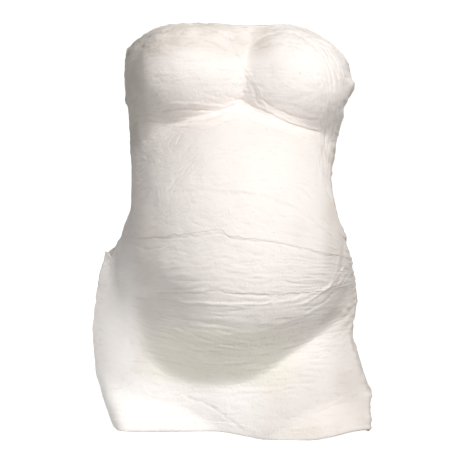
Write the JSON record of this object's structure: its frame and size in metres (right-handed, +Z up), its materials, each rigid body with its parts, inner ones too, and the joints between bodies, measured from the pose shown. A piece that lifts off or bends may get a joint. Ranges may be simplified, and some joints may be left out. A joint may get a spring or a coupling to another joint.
{
  "type": "plaster mold",
  "caption": "Open-backed shell of hardened plaster-gauze strips molded on the front of a pregnant trunk, from bust to thighs.",
  "frame": {"origin": "centre of the bounding box, on the ground under the lower rim", "axes": "+X to the right seen from the front, -Y towards the front of the belly, +Z up"},
  "size_m": [0.4106, 0.2363, 0.5734],
  "materials": {
    "face": "matt, smoothed plaster over gauze",
    "lining": "matt plaster with the gauze weave showing",
    "edge": "matt, rough plaster gauze"
  },
  "bodies": {
    "root": {"edge_foot_left": "edge", "edge_foot_mid": "edge", "edge_foot_right": "edge", "edge_left_high": "edge", "edge_left_low": "edge", "edge_left_mid": "edge", "edge_right_high": "edge", "edge_right_low": "edge", "edge_right_mid": "edge", "edge_top_left": "edge", "edge_top_mid": "edge", "edge_top_right": "edge", "face_belly_high": "face", "face_belly_low": "face", "face_belly_mid": "face", "face_bust_left": "face", "face_bust_right": "face", "face_chest_left": "face", "face_chest_mid": "face", "face_chest_right": "face", "face_groin": "face", "face_hip": "face", "face_lower_belly": "face", "face_midriff": "face", "face_mons": "face", "face_thigh_left": "face", "face_thigh_right": "face", "face_under_belly": "face", "face_waist": "face", "lining_1": "lining", "lining_2": "lining", "lining_3": "lining", "lining_4": "lining", "lining_5": "lining", "lining_6": "lining", "lining_7": "lining", "lining_8": "lining"}
  },
  "joints": []
}
